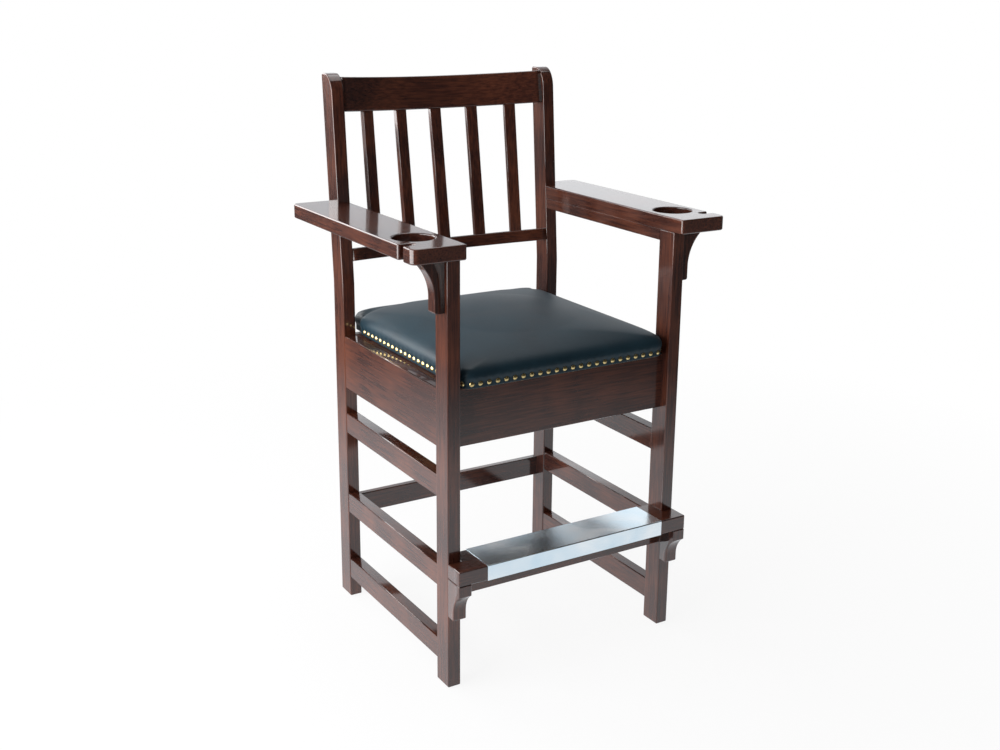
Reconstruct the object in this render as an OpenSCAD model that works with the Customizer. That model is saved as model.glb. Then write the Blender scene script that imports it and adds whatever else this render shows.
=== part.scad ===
// Tall spectator chair in dark lacquered hardwood: four legs, three stretchers a side, a steel-capped
// footrest, broad arms with a cup recess and a cue notch, a bowed slat back and a nailed leather seat.
// Millimetres. +Z is up and the chair faces -Y. The origin is on the floor, under the middle of the
// whole chair. Every piece is drawn for the right-hand side (+X) and mirrored where it has a twin.

/* [Frame] */
// Width over the outer faces of the legs
frame_w = 610; // [560:1:660]
// Depth from the front legs' front faces to the rear legs' back faces, at the floor
frame_d = 567; // [520:1:620]
// Height of the back posts
total_h = 1300; // [1290:1:1360]
// Thickness of a leg across the chair
leg_w = 31; // [28:0.5:40]
// Depth of a leg from front to back
leg_d = 53; // [48:0.5:60]

/* [Seat frame] */
// Height of the aprons' top edges
apron_top = 687; // [660:1:720]
// Height of an apron
apron_h = 131.5; // [90:0.5:150]
// Thickness of the side aprons and side stretchers
side_t = 27.5; // [24:0.5:28]
// How far the side members lie inside the legs' outer faces
side_inset = 1.5; // [0:0.5:3]
// Thickness of the front apron, the rear apron and the footrest rail
cross_t = 20; // [16:0.5:24]
// Setback of the front apron behind the legs' front faces
front_apron_inset = 22; // [10:0.5:28]
// Setback of the rear apron behind the rear legs' front faces
rear_apron_inset = 2; // [0:0.5:20]

/* [Stretchers] */
// Height of every side stretcher
stretcher_h = 52; // [36:0.5:70]
// Bottom edge of the lower side stretchers
lower_stretcher_z = 52; // [30:1:110]
// Bottom edge of the middle side stretchers
middle_stretcher_z = 230; // [200:1:290]
// Bottom edge of the upper side stretchers
upper_stretcher_z = 440; // [400:1:470]
// Bottom edge of the rear stretcher
rear_stretcher_z = 205; // [80:1:400]
// Thickness of the rear stretcher, which lies flush with the legs' back faces
rear_stretcher_t = 17.5; // [14:0.5:28]

/* [Footrest] */
// Height of the footrest board's top face
footrest_top = 302; // [285:1:320]
// Thickness of the footrest board
footrest_t = 34.5; // [24:0.5:40]
// Reach of the footrest board in front of the legs
footrest_reach = 49.5; // [36:0.5:70]
// Depth of the footrest board from its front edge to its back edge
footrest_depth = 95.5; // [86:0.5:110]
// Height of the rail under the footrest board
footrest_rail_h = 51; // [36:0.5:70]
// Setback of that rail behind the legs' front faces
footrest_rail_inset = 8; // [4:0.5:20]
// Length of the steel plate
plate_l = 470; // [400:1:500]
// Thickness of the steel plate
plate_t = 1.2; // [0.8:0.1:2]

/* [Footrest corbels] */
// Height of the corbel's square nose under the board
nose_h = 26; // [16:0.5:36]
// Depth of the corbel's foot in front of the leg
foot_reach = 24.5; // [14:0.5:30]
// Height of the hollow curve between the nose and the foot
foot_cove_h = 46; // [34:0.5:54]
// Height of the footrest corbel
foot_corbel_h = 92; // [84:0.5:110]
// Radius of the corbel's lower front corner
foot_corner_r = 4; // [2:0.5:8]

/* [Armrests] */
// Height of the armrests' top faces
arm_top = 1005; // [960:1:1050]
// Thickness of an armrest board
arm_t = 32.5; // [28:0.5:38]
// Reach of an armrest beyond the legs' outer faces
arm_side_reach = 92.5; // [80:0.5:105]
// Reach of an armrest in front of the front legs
arm_front_reach = 28.5; // [10:0.5:50]
// Radius of an armrest's outer front corner
arm_front_r = 16; // [8:0.5:18]
// Radius of its inner front corner
arm_front_inner_r = 6; // [3:0.5:10]
// Radius of an armrest's outer rear corner
arm_rear_r = 14; // [6:0.5:25]
// Height of the rail under an armrest
arm_rail_h = 26; // [22:0.5:50]
// Thickness of the rail under an armrest
arm_rail_t = 20; // [16:0.5:24]

/* [Cup recess and cue notch] */
// Radius of the cup recess
cup_r = 45; // [38:0.5:50]
// Depth of the cup recess
cup_depth = 22; // [12:0.5:24]
// Distance from an armrest's front edge to the middle of the cup recess
cup_back = 116; // [110:1:180]
// Width of the cue notch
cue_w = 19; // [14:0.5:24]
// Distance from an armrest's front edge to the middle of the cue notch
cue_back = 54; // [34:1:58]
// Distance from an armrest's outer edge to the middle of the notch's round end
cue_in = 23; // [18:0.5:26]
// Radius of the notch's two lips
cue_lip_r = 6; // [3:0.5:8]

/* [Arm corbels] */
// Thickness of an arm corbel
arm_corbel_t = 30; // [20:0.5:46]
// Reach of an arm corbel under the armrest
arm_corbel_reach = 66; // [50:0.5:78]
// Reach of an arm corbel at its foot
arm_corbel_foot = 22.5; // [14:0.5:30]
// Height of the hollow curve on an arm corbel
arm_cove_h = 84; // [64:0.5:96]
// Height of an arm corbel
arm_corbel_h = 116; // [104:0.5:140]
// Radius of an arm corbel's lower outer corner
arm_corbel_r = 5; // [2:0.5:10]

/* [Back] */
// Height at which the rear legs bend back
bend_h = 813; // [740:1:900]
// Backward lean of the posts, in degrees
post_lean = 4.4; // [1:0.1:6]
// Depth of the rounding on the front of a post's top
post_round_d = 32; // [15:0.5:40]
// Height of that rounding
post_round_h = 46; // [20:0.5:60]
// Radius of the rear edge of a post's top
post_rear_r = 5; // [2:0.5:10]
// Backward lean of the crest rail and the lower back rail, in degrees
back_lean = 9.1; // [4:0.1:11]
// Drop from the posts' tops to the crest rail's bottom edge, where it meets them
crest_drop = 85; // [82:1:110]
// Height of the crest rail
crest_h = 79; // [50:0.5:80]
// Thickness of the crest rail
crest_t = 19; // [16:0.5:24]
// Bow of the crest rail, from its ends to its middle
crest_bow = 59; // [20:1:80]
// Setback of the crest rail's ends behind the posts' front faces
crest_inset = 5.5; // [0:0.5:10]
// Bottom edge of the lower back rail where it meets the posts
back_rail_z = 866; // [850:1:900]
// Height of the lower back rail
back_rail_h = 30; // [26:0.5:60]
// Thickness of the lower back rail
back_rail_t = 19; // [16:0.5:24]
// Bow of the lower back rail, from its ends to its middle
back_rail_bow = 37; // [10:1:60]
// Setback of the lower back rail's ends behind the posts' front faces
back_rail_inset = 0; // [0:0.5:10]
// Width of a back slat
slat_w = 29; // [20:0.5:50]
// Thickness of a back slat
slat_t = 15; // [10:0.5:15]
// Distance from one back slat to the next
slat_pitch = 98; // [70:1:110]
// Setback of the slats behind the rails' front faces
slat_inset = 3; // [0:0.25:3]

/* [Seat] */
// Gap between the seat and the legs' inner faces
seat_side_gap = 9.5; // [4:0.5:15]
// Setback of the seat's front behind the legs' front faces
seat_front_inset = 2.5; // [0:0.5:15]
// How far the seat's tongue runs back between the rear legs
tongue_reach = 46; // [30:0.5:50]
// Width of the notch on each side of the tongue
notch_w = 10; // [6:0.5:20]
// Gap between the seat's nailed sides and the rear legs
notch_gap = 10; // [5:0.5:25]
// Radius of the seat's front corners
seat_corner_r = 26; // [15:0.5:45]
// Radius of the seat's corners at the notches and the tongue
notch_r = 8; // [4:0.5:12]
// Height of the seat's crown over the aprons
seat_crown = 84; // [60:0.5:100]
// Thickness of the seat board
seat_board_t = 22; // [18:0.5:30]
// Thickness of the leather
leather_t = 1.5; // [1:0.1:3]
// How far the padding stands out over the nailed edge
seat_bulge = 3; // [1:0.25:5]
// Fullness of the crown: 2 is a round dome, more is a flatter top with fuller edges
seat_fullness = 2.3; // [2:0.1:4]
// Radius of a nail head
nail_r = 5.5; // [4:0.25:7]
// Height of a nail head
nail_h = 2.6; // [1.5:0.1:4]
// Spacing of the nails, which is trimmed to a whole number round the seat
nail_pitch = 21.5; // [18:0.1:30]
// Height of the nail row over the leather's lower edge
nail_z = 10; // [9:0.5:15]

/* [Seat fixing] */
// Width of a seat cleat
cleat_w = 40; // [38:0.5:50]
// Height of the cleats and of the corner blocks
cleat_h = 35; // [25:0.5:45]
// Length of a corner block along the side apron
block_side_l = 70; // [50:1:90]
// Length of a corner block along the front or rear apron
block_cross_l = 70; // [50:1:90]

/* [Joints and hardware] */
// Thickness of a tenon
tenon_t = 10; // [8:0.5:12]
// Length of the tenons on the members that run from front to back
side_tenon_l = 12; // [8:0.5:16]
// Length of the tenons on the members that run across the chair
cross_tenon_l = 11; // [8:0.5:12]
// Shoulder above and below a tenon
tenon_shoulder = 6; // [4:0.5:9]
// Outer shoulder of a side member's tenon
side_tenon_edge = 6; // [5:0.5:7]
// Clearance between a tenon, dowel or screw and its hole
joint_gap = 0.1; // [0.05:0.05:0.3]
// Radius of a corbel dowel
dowel_r = 4; // [3:0.5:5]
// Depth of a dowel in each of its two pieces
dowel_depth = 12; // [8:0.5:14]
// Radius of a screw's shank
screw_r = 2; // [1.5:0.25:2.5]
// Radius of a screw's head
screw_head_r = 4; // [3.5:0.25:5]
// Height of a screw's head
screw_head_h = 2.5; // [2:0.25:3.5]
// Depth of a screw in the piece that it holds
screw_bite = 14; // [10:0.5:16]
// Thickness of a leg glide
glide_t = 2; // [1.5:0.25:5]
// Radius of a leg glide
glide_r = 10; // [8:0.5:14]
// Length of a glide's pin
glide_pin_l = 14; // [8:0.5:20]

/* [Hidden] */
$fn = 48;

// Facets on the large arcs of the bowed rails
ARC_FN = 360;
// A block larger than the chair, for cutting with a plane
HUGE = 3000;
// Overlap of shapes that are joined or cut, so that no face is shared
EPS = 1;

wood = "#3a2220";
lit_wood = "#5a3330";
leather = "#2c4149";
brass = "#c9a95c";
steel = "#c9ced2";
pale_wood = "#b08a5c";
zinc = "#9a9ea2";
foam_tone = "#d8cfae";

// Frame lines, in the frame's own middle; the whole chair is moved by -mid_y at the end
outer_x = frame_w / 2;
inner_x = outer_x - leg_w;
leg_front = -frame_d / 2;
leg_inside = leg_front + leg_d;
rear_front = frame_d / 2 - leg_d;
rear_back = frame_d / 2;
apron_z = apron_top - apron_h;
side_outer = outer_x - side_inset;
side_inner = side_outer - side_t;
front_apron_y = leg_front + front_apron_inset;
rear_apron_y = rear_front + rear_apron_inset;
arm_under = arm_top - arm_t;
footrest_under = footrest_top - footrest_t;
footrest_front = leg_front - footrest_reach;
footrest_rail_y = leg_front + footrest_rail_inset;

// Front face of a post and of the bowed rails' ends at a height
function post_front(z) = rear_front + tan(post_lean) * max(z - bend_h, 0);
function post_back(z) = post_front(z) + leg_d;
crest_z = total_h - crest_drop;
crest_y = post_front(crest_z) + crest_inset;
back_rail_y = post_front(back_rail_z) + back_rail_inset;

// The plan moves so that the chair's front and rear reach are level about y = 0
front_reach = footrest_front - plate_t;
rear_reach = crest_y + (crest_bow + crest_t) * cos(back_lean) + crest_h * sin(back_lean);
mid_y = (front_reach + rear_reach) / 2;

// Draws a right-hand piece in place on its side: 1 is right, -1 is left
module on_side(side) {
    if (side > 0)
        translate([0, -mid_y, 0]) children();
    else
        mirror([1, 0, 0]) translate([0, -mid_y, 0]) children();
}

module both_sides() {
    on_side(1) children();
    on_side(-1) children();
}

module centred() {
    translate([0, -mid_y, 0]) children();
}

// Turns an outline drawn as [y, z] into a board of the given thickness along X
module along_x(x, thickness) {
    translate([x, 0, 0]) rotate([90, 0, 90]) linear_extrude(thickness) children();
}

// Turns an outline drawn as [x, z] into a board of the given thickness along Y
module along_y(y, thickness) {
    translate([0, y + thickness, 0]) rotate([90, 0, 0]) linear_extrude(thickness) children();
}

// The waste outside a rounded corner at the origin, whose piece lies towards -x and -y
module corner_waste(r) {
    translate([-r, -r]) difference() {
        square(r + EPS);
        circle(r = r);
    }
}

// Members from front to back: a board between the legs with a stub tenon at each end
module side_member(z, h) {
    translate([side_inner, leg_inside, z]) cube([side_t, rear_front - leg_inside, h]);
    side_tenons(side_outer - side_tenon_edge - tenon_t, z, h, rear_front, 0);
}

// Both tenons of such a member as one bar, from its inner face x to the rear leg's face at rear_y
module side_tenons(x, z, h, rear_y, gap) {
    translate([x - gap, leg_inside - side_tenon_l - gap, z + tenon_shoulder - gap])
        cube([tenon_t + 2 * gap, rear_y - leg_inside + 2 * (side_tenon_l + gap),
              h - 2 * (tenon_shoulder - gap)]);
}

module side_mortises(gap) {
    x = side_outer - side_tenon_edge - tenon_t;
    side_tenons(x, apron_z, apron_h, rear_front, gap);
    for (z = [lower_stretcher_z, middle_stretcher_z, upper_stretcher_z])
        side_tenons(x, z, stretcher_h, rear_front, gap);
}

// Members across the chair: a board between the legs with a stub tenon at each end
module cross_member(y, t, z, h) {
    translate([-inner_x, y, z]) cube([2 * inner_x, t, h]);
    cross_tenons(y, t, z, h, 0);
}

module cross_tenons(y, t, z, h, gap) {
    reach = inner_x + cross_tenon_l + gap;
    translate([-reach, y + (t - tenon_t) / 2 - gap, z + tenon_shoulder - gap])
        cube([2 * reach, tenon_t + 2 * gap, h - 2 * (tenon_shoulder - gap)]);
}

// Legs

// A hole runs a little past the face that it opens in; what sits in it doesn't
function open_end(gap) = gap > 0 ? EPS : 0;

// A glide's pin, and with a gap its hole
module glide_pin(y, gap) {
    translate([outer_x - leg_w / 2, y, glide_t - EPS])
        cylinder(r = screw_r + gap, h = glide_pin_l + EPS + gap);
}

// The front leg's top runs into the armrest as a tenon
leg_tenon_h = 12;
leg_tenon_edge = 6;
module leg_tenon(gap) {
    edge = leg_tenon_edge - gap;
    translate([inner_x + edge, leg_front + edge, arm_under - EPS])
        cube([leg_w - 2 * edge, leg_d - 2 * edge, leg_tenon_h + EPS + gap]);
}

module front_leg() {
    color(lit_wood) difference() {
        union() {
            translate([inner_x, leg_front, glide_t]) cube([leg_w, leg_d, arm_under - glide_t]);
            leg_tenon(0);
        }
        side_mortises(joint_gap);
        arm_rail_tenons(joint_gap);
        cross_tenons(front_apron_y, cross_t, apron_z, apron_h, joint_gap);
        cross_tenons(footrest_rail_y, cross_t, footrest_under - footrest_rail_h, footrest_rail_h, joint_gap);
        arm_corbel_dowels(joint_gap);
        footrest_corbel_dowels(joint_gap);
        glide_pin(leg_front + leg_d / 2, joint_gap);
    }
}

// Side view of a rear leg and its post, with the rounded top
POST_STEPS = 12;
function post_outline() = concat(
    [[rear_front, glide_t], [rear_back, glide_t], [rear_back, bend_h]],
    [for (i = [0:POST_STEPS / 3]) let (a = 90 * i / (POST_STEPS / 3), z = total_h - post_rear_r * (1 - sin(a)))
        [post_back(z) - post_rear_r * (1 - cos(a)), z]],
    [for (i = [POST_STEPS:-1:0]) let (a = 90 * i / POST_STEPS, z = total_h - post_round_h * (1 - sin(a)))
        [post_front(z) + post_round_d * (1 - cos(a)), z]],
    [[rear_front, bend_h]]
);

module rear_leg_blank() {
    along_x(inner_x, leg_w) polygon(post_outline());
}

module rear_leg() {
    color(lit_wood) difference() {
        rear_leg_blank();
        side_mortises(joint_gap);
        arm_rail_tenons(joint_gap);
        cross_tenons(rear_apron_y, cross_t, apron_z, apron_h, joint_gap);
        cross_tenons(rear_back - rear_stretcher_t, rear_stretcher_t, rear_stretcher_z, stretcher_h, joint_gap);
        crest_place() bowed_tenons(crest_bow, crest_t, crest_h, joint_gap);
        back_rail_place() bowed_tenons(back_rail_bow, back_rail_t, back_rail_h, joint_gap);
        glide_pin(rear_back - leg_d / 2, joint_gap);
    }
}

// Aprons and stretchers

module side_apron() {
    color(lit_wood) side_member(apron_z, apron_h);
}

module side_stretcher(z) {
    color(lit_wood) side_member(z, stretcher_h);
}

module front_apron() {
    color(wood) centred() cross_member(front_apron_y, cross_t, apron_z, apron_h);
}

module rear_apron() {
    color(wood) centred() cross_member(rear_apron_y, cross_t, apron_z, apron_h);
}

module rear_stretcher() {
    color(wood) centred()
        cross_member(rear_back - rear_stretcher_t, rear_stretcher_t, rear_stretcher_z, stretcher_h);
}

// Footrest

footrest_screw_xs = [-plate_l * 0.38, 0, plate_l * 0.38];
module footrest_screw_set(gap) {
    for (x = footrest_screw_xs)
        translate([x, footrest_rail_y + cross_t / 2, footrest_top]) {
            translate([0, 0, -screw_head_h - gap])
                cylinder(r = screw_head_r + gap, h = screw_head_h + gap + open_end(gap));
            translate([0, 0, -footrest_t - screw_bite - gap])
                cylinder(r = screw_r + gap, h = footrest_t + screw_bite + gap);
        }
}

module footrest_rail() {
    color(wood) centred() difference() {
        cross_member(footrest_rail_y, cross_t, footrest_under - footrest_rail_h, footrest_rail_h);
        footrest_screw_set(joint_gap);
    }
}

module footrest_board() {
    color(wood) centred() difference() {
        union() {
            translate([-outer_x, footrest_front, footrest_under])
                cube([frame_w, footrest_reach, footrest_t]);
            translate([-inner_x, footrest_front, footrest_under])
                cube([2 * inner_x, footrest_depth, footrest_t]);
        }
        footrest_screw_set(joint_gap);
    }
}

// The plate covers the board's top and front edge in one folded sheet
module footrest_plate() {
    color(steel) centred() {
        translate([-plate_l / 2, front_reach, footrest_top])
            cube([plate_l, footrest_depth + plate_t, plate_t]);
        translate([-plate_l / 2, front_reach, footrest_under])
            cube([plate_l, plate_t, footrest_t + plate_t]);
    }
}

module footrest_screws() {
    color(zinc) centred() footrest_screw_set(0);
}

// Height of the dowels below the footrest board
foot_dowel_drops = [14, 72];
module footrest_corbel_dowels(gap) {
    for (drop = foot_dowel_drops)
        translate([outer_x - leg_w / 2, leg_front - dowel_depth - gap, footrest_under - drop])
            rotate([-90, 0, 0]) cylinder(r = dowel_r + gap, h = 2 * (dowel_depth + gap));
}

module footrest_corbel() {
    // The hollow runs from under the nose into the upright foot, and is upright where they meet
    rise = footrest_reach - foot_reach;
    cove_r = (rise * rise + foot_cove_h * foot_cove_h) / (2 * rise);
    color(wood) difference() {
        along_x(inner_x, leg_w) translate([leg_front, footrest_under]) mirror([1, 0]) difference() {
            union() {
                translate([0, -nose_h - foot_cove_h]) square([footrest_reach, nose_h + foot_cove_h]);
                translate([0, -foot_corbel_h]) square([foot_reach, foot_corbel_h]);
            }
            translate([foot_reach + cove_r, -nose_h - foot_cove_h]) circle(r = cove_r, $fn = ARC_FN);
            translate([foot_reach, -foot_corbel_h]) mirror([0, 1]) corner_waste(foot_corner_r);
        }
        footrest_corbel_dowels(joint_gap);
    }
}

// Arms

arm_outer = outer_x + arm_side_reach;
arm_front = leg_front - arm_front_reach;
arm_rear = post_back(arm_top);
cup_x = (inner_x + arm_outer) / 2;
cup_y = arm_front + cup_back;
cue_x = arm_outer - cue_in;
cue_y = arm_front + cue_back;

arm_rail_z = arm_under - arm_rail_h;
module arm_rail_tenons(gap) {
    side_tenons(inner_x + (arm_rail_t - tenon_t) / 2, arm_rail_z, arm_rail_h,
                post_front(arm_under - arm_rail_h / 2), gap);
}

// Screws go up through the arm rail into the armrest, one behind the cup recess and one near the post
arm_screw_cup_gap = 30;
arm_screw_post_gap = 60;
arm_screw_ys = [cup_y + cup_r + arm_screw_cup_gap, rear_front - arm_screw_post_gap];
module arm_screw_set(gap) {
    for (y = arm_screw_ys)
        translate([inner_x + arm_rail_t / 2, y, arm_rail_z]) {
            translate([0, 0, -open_end(gap)])
                cylinder(r = screw_head_r + gap, h = screw_head_h + gap + open_end(gap));
            cylinder(r = screw_r + gap, h = arm_rail_h + screw_bite + gap);
        }
}

module arm_rail() {
    color(wood) difference() {
        union() {
            difference() {
                translate([inner_x, leg_inside, arm_rail_z])
                    cube([arm_rail_t, rear_front + leg_d / 2 - leg_inside, arm_rail_h]);
                rear_leg_blank();
            }
            arm_rail_tenons(0);
        }
        arm_screw_set(joint_gap);
    }
}

// Plan of the cue notch: a round pocket that opens to the outer edge between two rounded lips
module cue_notch_plan() {
    translate([cue_x, cue_y]) {
        circle(d = cue_w);
        translate([0, -cue_w / 2]) square([cue_in + EPS, cue_w]);
    }
    for (way = [-1, 1])
        translate([arm_outer, cue_y + way * cue_w / 2]) mirror([0, way < 0 ? 0 : 1]) corner_waste(cue_lip_r);
}

module armrest() {
    color(lit_wood) difference() {
        translate([0, 0, arm_under]) linear_extrude(arm_t) difference() {
            union() {
                translate([inner_x, arm_front]) square([leg_w, rear_front + leg_d / 2 - arm_front]);
                translate([outer_x, arm_front]) square([arm_side_reach, arm_rear - arm_front]);
            }
            translate([arm_outer, arm_rear]) corner_waste(arm_rear_r);
            translate([arm_outer, arm_front]) mirror([0, 1]) corner_waste(arm_front_r);
            translate([inner_x, arm_front]) mirror([0, 1]) mirror([1, 0]) corner_waste(arm_front_inner_r);
            cue_notch_plan();
        }
        rear_leg_blank();
        leg_tenon(joint_gap);
        arm_screw_set(joint_gap);
        translate([cup_x, cup_y, arm_top - cup_depth]) cylinder(r = cup_r, h = cup_depth + EPS);
    }
}

module arm_screws() {
    color(zinc) both_sides() arm_screw_set(0);
}

// Height of the dowels below the armrest
arm_dowel_drops = [30, 92];
module arm_corbel_dowels(gap) {
    for (drop = arm_dowel_drops)
        translate([outer_x - dowel_depth - gap, leg_front + leg_d / 2, arm_under - drop])
            rotate([0, 90, 0]) cylinder(r = dowel_r + gap, h = 2 * (dowel_depth + gap));
}

module arm_corbel() {
    // The hollow runs from the reach at the top into the upright foot, and is upright where they meet
    rise = arm_corbel_reach - arm_corbel_foot;
    cove_r = (rise * rise + arm_cove_h * arm_cove_h) / (2 * rise);
    color(wood) difference() {
        along_y(leg_front + (leg_d - arm_corbel_t) / 2, arm_corbel_t) translate([outer_x, arm_under])
            difference() {
                union() {
                    translate([0, -arm_cove_h]) square([arm_corbel_reach, arm_cove_h]);
                    translate([0, -arm_corbel_h]) square([arm_corbel_foot, arm_corbel_h]);
                }
                translate([arm_corbel_foot + cove_r, -arm_cove_h]) circle(r = cove_r, $fn = ARC_FN);
                translate([arm_corbel_foot, -arm_corbel_h]) mirror([0, 1]) corner_waste(arm_corbel_r);
            }
        arm_corbel_dowels(joint_gap);
    }
}

module corbel_dowels() {
    color(pale_wood) both_sides() {
        arm_corbel_dowels(0);
        footrest_corbel_dowels(0);
    }
}

// Back

// Radius of an arc that bows by the given depth between the posts
function bow_r(bow) = (inner_x * inner_x + bow * bow) / (2 * bow);
// How far the arc lies behind its ends at x
function sag(bow, x) = bow - bow_r(bow) + sqrt(pow(bow_r(bow), 2) - x * x);

module crest_place() {
    translate([0, crest_y, crest_z]) rotate([-back_lean, 0, 0]) children();
}

module back_rail_place() {
    translate([0, back_rail_y, back_rail_z]) rotate([-back_lean, 0, 0]) children();
}

module bowed_board(bow, t, h) {
    r = bow_r(bow);
    linear_extrude(h) intersection() {
        translate([0, bow - r]) difference() {
            circle(r = r + t, $fn = ARC_FN);
            circle(r = r, $fn = ARC_FN);
        }
        translate([-inner_x, -EPS]) square([2 * inner_x, bow + t + 2 * EPS]);
    }
    bowed_tenons(bow, t, h, 0);
}

// Stub tenons in the middle of the board's two ends
module bowed_tenons(bow, t, h, gap) {
    r = bow_r(bow);
    end_t = bow - r + sqrt(pow(r + t, 2) - inner_x * inner_x);
    root = 4;
    for (way = [-1, 1])
        translate([way * (inner_x + (cross_tenon_l + gap - root) / 2), end_t / 2, h / 2])
            cube([cross_tenon_l + gap + root, tenon_t + 2 * gap, h - 2 * (tenon_shoulder - gap)], center = true);
}

SLAT_N = 5;
slat_shoulder = 3;
slat_tenon_t = 8;
slat_tenon_l = 12;
function slat_x(i) = (i - (SLAT_N - 1) / 2) * slat_pitch;
// Where a slat's front face meets the lower rail's top and the crest rail's bottom, as [y, z]
function slat_foot(x) = let (d = sag(back_rail_bow, x) + slat_inset)
    [back_rail_y + d * cos(back_lean) + back_rail_h * sin(back_lean),
     back_rail_z - d * sin(back_lean) + back_rail_h * cos(back_lean)];
function slat_head(x) = let (d = sag(crest_bow, x) + slat_inset)
    [crest_y + d * cos(back_lean), crest_z - d * sin(back_lean)];
// A slat faces the way the bowed rails face there
function slat_turn(x) = -asin(x * (1 / bow_r(crest_bow) + 1 / bow_r(back_rail_bow)) / 2);

// A straight board through both rails
module slat_blank(x, w, t) {
    foot = slat_foot(x);
    head = slat_head(x);
    run = head - foot;
    extra = back_rail_h + 2 * slat_tenon_l;
    translate([x, foot[0], foot[1]]) rotate([-atan(run[0] / run[1]), 0, 0]) rotate([0, 0, slat_turn(x)])
        translate([-w / 2, (slat_t - t) / 2, -extra]) cube([w, t, norm(run) + 2 * extra]);
}

// The part of that board between the rails, and into each of them by a depth
module slat_between(x, w, t, into) {
    difference() {
        slat_blank(x, w, t);
        crest_place() translate([-HUGE / 2, -HUGE / 2, into]) cube(HUGE);
        back_rail_place() translate([-HUGE / 2, -HUGE / 2, back_rail_h - into - HUGE]) cube(HUGE);
    }
}

module slat_tenons(x, gap) {
    slat_between(x, slat_w - 2 * (slat_shoulder - gap), slat_tenon_t + 2 * gap, slat_tenon_l + gap);
}

module back_slat(i) {
    color(wood) centred() {
        slat_between(slat_x(i), slat_w, slat_t, 0);
        slat_tenons(slat_x(i), 0);
    }
}

module crest_rail() {
    color(wood) centred() difference() {
        crest_place() bowed_board(crest_bow, crest_t, crest_h);
        for (i = [0:SLAT_N - 1])
            slat_tenons(slat_x(i), joint_gap);
    }
}

module lower_back_rail() {
    color(wood) centred() difference() {
        back_rail_place() bowed_board(back_rail_bow, back_rail_t, back_rail_h);
        for (i = [0:SLAT_N - 1])
            slat_tenons(slat_x(i), joint_gap);
    }
}

// Seat

seat_half_w = inner_x - seat_side_gap;
seat_front = leg_front + seat_front_inset;
seat_rear = rear_front + tongue_reach;
seat_mid_y = (seat_front + seat_rear) / 2;
seat_half_d = (seat_rear - seat_front) / 2;
notch_y = rear_front - notch_gap;
// The leather stops a little short of the aprons
leather_z = apron_top + 0.5;
board_top = apron_top + seat_board_t;

// Plan of the seat, inset by d from its edge and drawn anticlockwise from above: round front corners,
// and at the back a notch beside each rear leg with a tongue between them. Past the edge the corners
// grow rounder, and the notches fade into plain round corners over a short way.
FRONT_STEPS = 6;
SIDE_STEPS = 4;
NOTCH_STEPS = 3;
EDGE_D = 5;
CORNER_GROWTH = 1;
NOTCH_FADE = 40;
function arc(x, y, r, from, to, steps) = [for (i = [0:steps]) let (w = from + (to - from) * i / steps)
    [x + r * cos(w), y + r * sin(w)]];
function ring_r(d, r0) = min(r0 - min(d, EDGE_D) + CORNER_GROWTH * max(d - EDGE_D, 0),
                             seat_half_w - d - 1, seat_half_d - d - 1);
function fade(d) = let (f = min(max(d / NOTCH_FADE, 0), 1)) f * f * (3 - 2 * f);
function back_corner(d, a, back) =
    let (r = max(notch_r - min(d, EDGE_D), 1), y = notch_y - d, inner = a - notch_w, f = fade(d),
         round_r = ring_r(d, seat_corner_r),
         notched = concat(arc(a - r, y - r, r, 0, 90, NOTCH_STEPS), [[inner, y]],
                          arc(inner - r, back - r, r, 0, 90, NOTCH_STEPS)),
         plain = arc(a - round_r, back - round_r, round_r, 0, 90, 2 * NOTCH_STEPS + 2))
    [for (i = [0:len(plain) - 1]) notched[i] * (1 - f) + plain[i] * f];
function half_ring(d) =
    let (a = seat_half_w - d, front = seat_front + d, back = seat_rear - d, r = ring_r(d, seat_corner_r),
         corner = back_corner(d, a, back), last = corner[len(corner) - 1])
    concat(
        [[0, front], [(a - r) / 2, front]],
        arc(a - r, front + r, r, -90, 0, FRONT_STEPS),
        [for (i = [1:SIDE_STEPS - 1]) [a, front + r + (corner[0][1] - front - r) * i / SIDE_STEPS]],
        corner,
        [[last[0] / 2, back], [0, back]]
    );
HALF_N = 2 + FRONT_STEPS + 1 + SIDE_STEPS - 1 + 2 * NOTCH_STEPS + 3 + 2;
RING_N = 2 * HALF_N - 2;
function seat_ring(d, z) = let (half = half_ring(d)) concat(
    [for (p = half) [p[0], p[1], z]],
    [for (i = [HALF_N - 2:-1:1]) [-half[i][0], half[i][1], z]]
);

// Half profile of the seat as [inset, height]: an upright nailed edge, then a swelling over it that
// closes on the crown as a superellipse
CROWN_STEPS = 8;
swell_z = board_top + 2;
crown_z = apron_top + seat_crown;
function crown_point(f) = let (w = 90 * f)
    [min(seat_half_w, seat_half_d) * (1 - pow(cos(w), 2 / seat_fullness)) - seat_bulge,
     swell_z + (crown_z - swell_z) * pow(sin(w), 2 / seat_fullness)];
function seat_profile() = concat(
    [[0, leather_z], [0, leather_z + nail_z + nail_r], [-seat_bulge * 0.7, board_top - 2]],
    [for (i = [0:CROWN_STEPS - 1]) crown_point(pow(i / CROWN_STEPS, 1.3))]
);

// The same profile moved inwards by the leather's thickness
function inward(a, b) = let (v = b - a) [v[1], -v[0]] / norm(v);
function lined(points, i) =
    let (n = len(points), before = inward(points[max(i - 1, 0)], points[max(i, 1)]),
         after = inward(points[min(i, n - 2)], points[min(i + 1, n - 1)]))
    points[i] + (before + after) / norm(before + after) * leather_t;

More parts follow.
